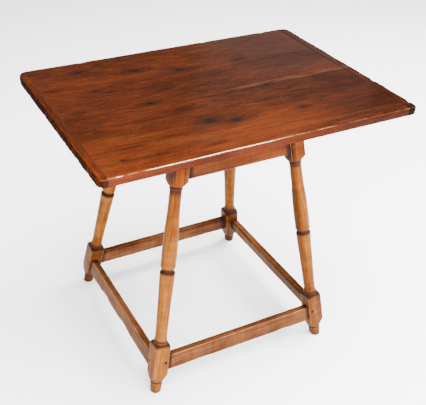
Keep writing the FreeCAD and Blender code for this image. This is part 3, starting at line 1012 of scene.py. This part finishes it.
def hand_in(piece, material, slot, *nodes):
    """Shades a finished piece and lets it stand for its nodes."""
    pick(piece)
    bpy.ops.object.shade_smooth_by_angle(angle=math.radians(35))
    piece.data.materials.clear()
    piece.data.materials.append(material)
    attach(piece, "root")
    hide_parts(*nodes)
    print(piece.name, len(piece.data.polygons), "faces")


print("helpers for finished pieces are ready")

# %% [markdown]
# Each leg is a copy with its own mesh and its own seed, so that no two show the same grain. Linked
# copies would be lighter, but the legs differ: the bead of each is slid to the height that the
# picture shows. Then the leg is leaned out both ways to its corner, made slightly uneven, and sawn
# level at the floor and under the top. The sole's edge is eased, as a foot's edge wears on a floor.

# %% Four standing legs
base_middle = -0.006
half_spread = (0.2375, 0.2305)
corners = {"front_left": (-1, -1), "front_right": (1, -1), "rear_left": (-1, 1), "rear_right": (1, 1)}
bead_rise = {"front_left": 0.010, "front_right": 0.002, "rear_left": -0.002, "rear_right": 0.004}
# How much painted shade falls on the left side of each leg.
left_side_shade = {"front_left": 0.10, "front_right": 1.0, "rear_left": 0.0, "rear_right": 0.9}
# How much painted shade falls on the lower end of each leg.
lower_shade = {"front_left": 0.15, "front_right": 0.45, "rear_left": 0.55, "rear_right": 0.9}


def leg_place(corner):
    """Where the straight leg goes: leaned out both ways, its axis through the foot."""
    axis = Vector((-corner[0] * lean, -corner[1] * lean, 1))
    turn = Vector((0, 0, 1)).rotation_difference(axis).to_matrix().to_4x4()
    foot = (base_middle + corner[0] * half_spread[0], corner[1] * half_spread[1], 0)
    return Matrix.Translation(foot) @ turn


for number, (corner_name, corner) in enumerate(corners.items()):
    leg = copy_of(turned, "turned_leg_" + corner_name)
    move_mesh(leg, Matrix.Rotation(math.pi / 2 * number, 4, "Z"))
    keep_stick(leg, (0, 1, 2), 1.0 + number)
    mark_points(leg, "lower_shade", [lower_shade[corner_name]] * len(leg.data.vertices))
    mark_points(leg, "left_side_shade", [left_side_shade[corner_name]] * len(leg.data.vertices))
    edit(leg)
    choose("VERT", lambda point: bead_low - 0.003 < point.co.z < upper_block + 0.001)
    bpy.ops.transform.translate(value=(0, 0, bead_rise[corner_name]))
    move_mesh(leg, leg_place(corner))
    hand_planed(leg, 0.045, 0.0010)
    edit(leg)
    saw((0, 0, 0), (0, 0, 1), clear_inner=True)
    saw((0, 0, underside), (0, 0, 1), clear_outer=True)
    round_edges(lambda edge: max(abs(point.co.z) for point in edge.verts) < 0.00001, 0.0012, 2)
    hand_in(leg, leg_maple, "leg_maple", "leg_" + corner_name)
bpy.data.objects.remove(turned)

# %% [markdown]
# Boots and brooms have nicked the stretchers. A nick could be cut with a Boolean, but that leaves a
# sharp rim, and old nicks are worn smooth. So a nick is given by its middle, its half sizes along X,
# Y and Z, and its depth, and the points near it sink along their normals.

# %% Nicks in the stretchers
stretcher_nicks = {
    "front": [(0.004, -0.236, 0.099, 0.009, 0.012, 0.010, 0.0020),
              (-0.020, -0.236, 0.099, 0.006, 0.012, 0.008, 0.0014),
              (0.120, -0.236, 0.057, 0.030, 0.012, 0.010, 0.0020),
              (-0.120, -0.240, 0.057, 0.040, 0.012, 0.010, 0.0022)],
    "left": [(-0.250, 0.080, 0.052, 0.015, 0.035, 0.012, 0.0030),
             (-0.250, -0.040, 0.052, 0.015, 0.050, 0.012, 0.0026),
             (-0.245, -0.130, 0.093, 0.012, 0.014, 0.008, 0.0016),
             (-0.227, 0.187, 0.094, 0.010, 0.009, 0.010, 0.0050)],
    "right": [(0.214, -0.060, 0.100, 0.012, 0.012, 0.008, 0.0022),
              (0.214, 0.070, 0.100, 0.012, 0.030, 0.008, 0.0014)],
    "rear": []}


def worn_away(piece, spots):
    """Dents and nicks: at each spot the points sink along their normals, most in the middle."""
    deepest = max(depth for *spot, depth in spots)

    def weight(point):
        most = 0.0
        for *spot, wide, deep, tall, depth in spots:
            away = point - Vector(spot)
            off = (away.x / wide) ** 2 + (away.y / deep) ** 2 + (away.z / tall) ** 2
            most = max(most, depth / deepest * max(0.0, 1 - off) ** 2)
        return most

    displaced(piece, "NORMAL", -deepest, 0.0, weight)


print("nicks", {side: len(spots) for side, spots in stretcher_nicks.items()})

# %% [markdown]
# The rails are canted boards: four aprons under the top and four stretchers near the floor. They
# could be modelled leaning from the start, but a rail is easier to follow in its own straight frame.
# So its place is a cant and a turn to its side, and it ends at the faces of two leaning blocks.

# %% Places of the rails
sides = ("front", "right", "rear", "left")
stretcher_low = {"front": 0.057, "rear": 0.058, "left": 0.052, "right": 0.066}
stretcher_height = {"front": 0.041, "rear": 0.041, "left": 0.041, "right": 0.034}
apron_depth = 0.102
half_blank = 0.24


def up_the_splay(height):
    """A height above the floor, measured along a leaning rail."""
    return height / math.cos(splay)


def rail_place(side):
    """Where the straight frame of a rail goes: canted, then turned to its side."""
    turns = sides.index(side)
    spread = half_spread[1] if turns % 2 == 0 else half_spread[0]
    canted = Matrix.Translation((0, -spread, 0)) @ Matrix.Rotation(-splay, 4, "X")
    return Matrix.Translation((base_middle, 0, 0)) @ Matrix.Rotation(math.pi / 2 * turns, 4, "Z") @ canted


def block_faces(side):
    """A point and the normal of the two block faces that a rail meets."""
    axis, sign = {"front": (1, -1), "rear": (1, 1), "left": (0, -1), "right": (0, 1)}[side]
    faces = []
    for corner in corners.values():
        if corner[axis] == sign:
            inward = Vector((0, 0, 0))
            inward[1 - axis] = -corner[1 - axis]
            place = leg_place(corner)
            faces.append((place @ (inward * block_half), place.to_3x3() @ inward))
    return faces


print("block faces of the front rails", len(block_faces("front")))

# %% [markdown]
# A rail starts as a bar, gets eased arrises and many cuts along its length, is leaned into its place,
# takes a little unevenness and its nicks, and is sawn off at the two blocks and under the top. Its
# ends could be worked out beforehand, but sawing a bar that is too long gives the right angles by
# itself.

# %% Aprons and stretchers
def rail(name, side, low, high, setback, arris, material, node, seed, nicks):
    """A rail between two heights along the splay, set back from the outer face of the blocks."""
    outer = setback - block_half
    middle = (outer + rail_thickness / 2, (low + high) / 2)
    half = Vector((half_blank, rail_thickness / 2, (high - low) / 2))
    piece = bar(name, -half, half)
    edit(piece)
    round_edges(lambda edge: runs(edge, 0), arris, 3)
    divide_edges(lambda edge: runs(edge, 0), 95)
    divide_edges(lambda edge: runs(edge, 2), 3)
    bpy.ops.object.mode_set(mode="OBJECT")
    keep_stick(piece, (1, 2, 0), seed)
    move_mesh(piece, rail_place(side) @ Matrix.Translation((0, *middle)))
    hand_planed(piece, 0.035, 0.0012)
    if nicks:
        worn_away(piece, nicks)
    cuts = block_faces(side)
    edit(piece)
    for face_point, face_normal in cuts:
        saw(face_point, face_normal, clear_inner=True)
    saw((0, 0, underside), (0, 0, 1), clear_outer=True)
    bpy.ops.object.mode_set(mode="OBJECT")
    mark_points(piece, "from_end", [min((point.co - spot).dot(normal) for spot, normal in cuts)
                                    for point in piece.data.vertices])
    hand_in(piece, material, "rail_maple", node)


for number, side in enumerate(sides):
    low = up_the_splay(stretcher_low[side])
    rail("stretcher_rail_" + side, side, low, low + stretcher_height[side], 0.005, 0.0025,
         low_stretcher_maple if side == "right" else stretcher_maple, "stretcher_" + side, 11.0 + number,
         stretcher_nicks[side])
    rail("apron_board_" + side, side, up_the_splay(underside - apron_depth), up_the_splay(underside) + 0.02,
         0.003, 0.0015, apron_maple, "apron_" + side, 21.0 + number, [])

# %% [markdown]
# The pegs that hold the tenons are short whittled sticks, driven in until only the head shows. A
# smooth cylinder could do, but a whittled head has facets. So one peg is made from a ten-sided prism,
# its head eased and its tail drawn in.

# %% Whittled peg
peg_radius, peg_length, peg_proud = 0.0039, 0.024, 0.0006
bpy.ops.object.select_all(action="DESELECT")
bpy.ops.mesh.primitive_cylinder_add(vertices=10, radius=peg_radius, depth=peg_length,
                                    location=(0, 0, peg_proud - peg_length / 2))
whittled = bpy.context.object
whittled.name = "whittled_peg"
bpy.ops.object.transform_apply(location=True, rotation=True, scale=True)
edit(whittled)
choose("FACE", lambda face: face.normal.z < -0.9)
bpy.ops.transform.resize(value=(0.6, 0.75, 1))
choose("FACE", lambda face: face.normal.z > 0.9)
bpy.ops.mesh.inset(thickness=0.0009)
bpy.ops.transform.translate(value=(0, 0, 0.0002))
bpy.ops.mesh.inset(thickness=0.0012)
choose("VERT", lambda point: abs(point.co.z - peg_proud) < 0.00001)
bpy.ops.transform.translate(value=(0, 0, -0.0004))
bpy.ops.object.mode_set(mode="OBJECT")
print("peg", len(whittled.data.polygons), "faces")

# %% [markdown]
# The peg is copied to every hole: two to the end of an apron, one to the end of a stretcher. Each
# could stay a piece of its own, but a leg's apron pegs stand for one node of the frame, so they are
# joined into one piece, and so are its stretcher pegs. In a piece no two are turned alike.

# %% Driven pegs
peg_inset = 0.009
turn_step = 1.7


def driven_pegs(name, corner_name, holes, node):
    """Copies of the peg in the holes of one leg, joined into one piece."""
    corner = corners[corner_name]
    copies = []
    for number, (across, height, dark) in enumerate(holes):
        outward = Vector((0, 0, 0))
        outward[across] = corner[across]
        start = outward * block_half
        start[1 - across] = -corner[1 - across] * (block_half - peg_inset)
        start.z = height
        peg = copy_of(whittled, name)
        mark_points(peg, "dark", [dark] * len(peg.data.vertices))
        turn = outward.to_track_quat("Z", "Y").to_matrix().to_4x4()
        turn = turn @ Matrix.Rotation(turn_step * number, 4, "Z")
        move_mesh(peg, leg_place(corner) @ Matrix.Translation(start) @ turn)
        copies.append(peg)
    pick(copies[0])
    for peg in copies[1:]:
        peg.select_set(True)
    bpy.ops.object.join()
    hand_in(copies[0], peg_wood, "peg_wood", node)


apron_low, apron_high = up_the_splay(underside - apron_depth), up_the_splay(underside)
for corner_name, (side_x, side_y) in corners.items():
    holes = []
    for share in (0.33, 0.75):
        height = apron_low + share * (apron_high - apron_low)
        holes += [(1, height, 0.9 if corner_name == "front_right" else 0.45), (0, height, 0.45)]
    driven_pegs("apron_pegs_driven_" + corner_name, corner_name, holes, "apron_pegs_" + corner_name)
    holes = []
    for across, side in ((1, "front" if side_y < 0 else "rear"), (0, "left" if side_x < 0 else "right")):
        height = up_the_splay(stretcher_low[side]) + 0.72 * stretcher_height[side]
        holes.append((across, height, 0.95 if side == "front" else 0.4))
    driven_pegs("stretcher_pegs_driven_" + corner_name, corner_name, holes, "stretcher_pegs_" + corner_name)
bpy.data.objects.remove(whittled)

# %% [markdown]
# A board of the top is a bar with its lower outer edge rounded and its upper one cut off flat. Both
# could be rounded, but only a flat throws back the strip light as a clear line. The board is cut into
# a fine grid and left slightly uneven, so that this line swells and thins as on a hand-planed board.

# %% Top boards
top_height = 0.660
seam = -0.027
seam_gap, left_gap, right_gap = 0.00005, 0.00005, 0.0003
front_edge_y, back_edge_y = -0.265, 0.265


def at_edge(edge, y, z):
    """Whether an edge is the long one at a given place."""
    return runs(edge, 0) and all(abs(point.co.y - y) < 0.0001 and abs(point.co.z - z) < 0.0001
                                 for point in edge.verts)


def top_board(name, low, high, outer, node, nicks):
    """A board between two lines, its outer edge worn by nicks of a place, half length and depth."""
    piece = bar(name, (left_shoulder + left_gap, low, underside),
                (right_shoulder - right_gap, high, top_height))
    edit(piece)
    round_edges(lambda edge: at_edge(edge, outer, top_height), 0.0012, 1)
    round_edges(lambda edge: at_edge(edge, outer, underside), 0.003, 3)
    divide_edges(lambda edge: runs(edge, 0), 240)
    divide_edges(lambda edge: runs(edge, 1) and edge.calc_length() > 0.02, 45)
    bpy.ops.object.mode_set(mode="OBJECT")
    hand_planed(piece, 0.06, 0.0010, "Z", lambda point: float(point.z > 0.655))
    edge_way = "Y" if outer < 0 else "NORMAL"
    hand_planed(piece, 0.04, 0.0005, edge_way, lambda point: float(abs(point.y - outer) < 0.003))
    worn_away(piece, [(x, outer, top_height, length, 0.010, 0.012, depth) for x, length, depth in nicks])
    hand_in(piece, board_pine, "top_pine", node)


top_board("pine_board_front", front_edge_y, seam - seam_gap, front_edge_y, "top_board_front",
          [(0.255, 0.007, 0.0016), (0.272, 0.005, 0.0014), (0.318, 0.009, 0.0020), (0.150, 0.012, 0.0010),
           (-0.180, 0.010, 0.0008), (-0.330, 0.012, 0.0014)])
top_board("pine_board_rear", seam + seam_gap, back_edge_y, back_edge_y, "top_board_rear",
          [(-0.220, 0.020, 0.0012), (0.120, 0.014, 0.0012), (0.300, 0.009, 0.0016)])

# %% [markdown]
# A cleat runs across each end of the boards, its grain square to theirs, and stands a little proud of
# them at front and back. It could be drawn as an outline and extruded, but a bar with bevelled
# corners is easier to change. Its two outer corners are well rounded, the rear one of the left cleat
# with a longer sweep, and so are the arrises that hands and chairs have rubbed.

# %% Cleats
cleat_front, cleat_back = front_edge_y - 0.002, back_edge_y + 0.002
corner_round = 0.017
left_end, right_end = cad_box[0][0], cad_box[1][0]


def cleat(name, low_x, high_x, outer, node, rear_round, dents):
    """A cleat whose outer upper arris has dents of a place, half length and depth."""
    inner = low_x if outer == high_x else high_x

    def rim(edge, z):
        return (all(abs(point.co.z - z) < 0.0001 for point in edge.verts)
                and any(abs(point.co.x - inner) > 0.0001 for point in edge.verts))

    piece = bar(name, (low_x, cleat_front, underside), (high_x, cleat_back, top_height))
    edit(piece)
    round_edges(lambda edge: runs(edge, 2) and abs(edge.verts[0].co.x - outer) < 0.0001, corner_round, 7)
    reach = corner_round + 0.0001
    choose("VERT", lambda point: point.co.y > cleat_back - reach and abs(point.co.x - outer) < reach)
    bpy.ops.transform.resize(value=(1, rear_round, 1), center_override=(0, cleat_back, 0))
    round_edges(lambda edge: rim(edge, top_height), 0.006, 4)
    round_edges(lambda edge: rim(edge, underside), 0.004, 3)
    divide_edges(lambda edge: runs(edge, 1) and edge.calc_length() > 0.1, 180)
    bpy.ops.object.mode_set(mode="OBJECT")
    hand_planed(piece, 0.03, 0.0014)
    worn_away(piece, [(outer, y, top_height, 0.012, length, 0.03, depth) for y, length, depth in dents])
    hand_in(piece, cleat_pine, "top_pine", node)


cleat("pine_cleat_left", left_end, left_shoulder - left_gap, left_end, "breadboard_end_left", 2.4,
      [(0.170, 0.010, 0.0016), (0.060, 0.018, 0.0020), (-0.020, 0.008, 0.0022), (-0.075, 0.014, 0.0014),
       (-0.150, 0.010, 0.0026), (-0.205, 0.016, 0.0018)])
cleat("pine_cleat_right", right_shoulder + right_gap, right_end, right_end, "breadboard_end_right", 1.0,
      [(0.190, 0.012, 0.0018), (0.040, 0.010, 0.0015), (-0.110, 0.014, 0.0022), (-0.235, 0.012, 0.0024)])
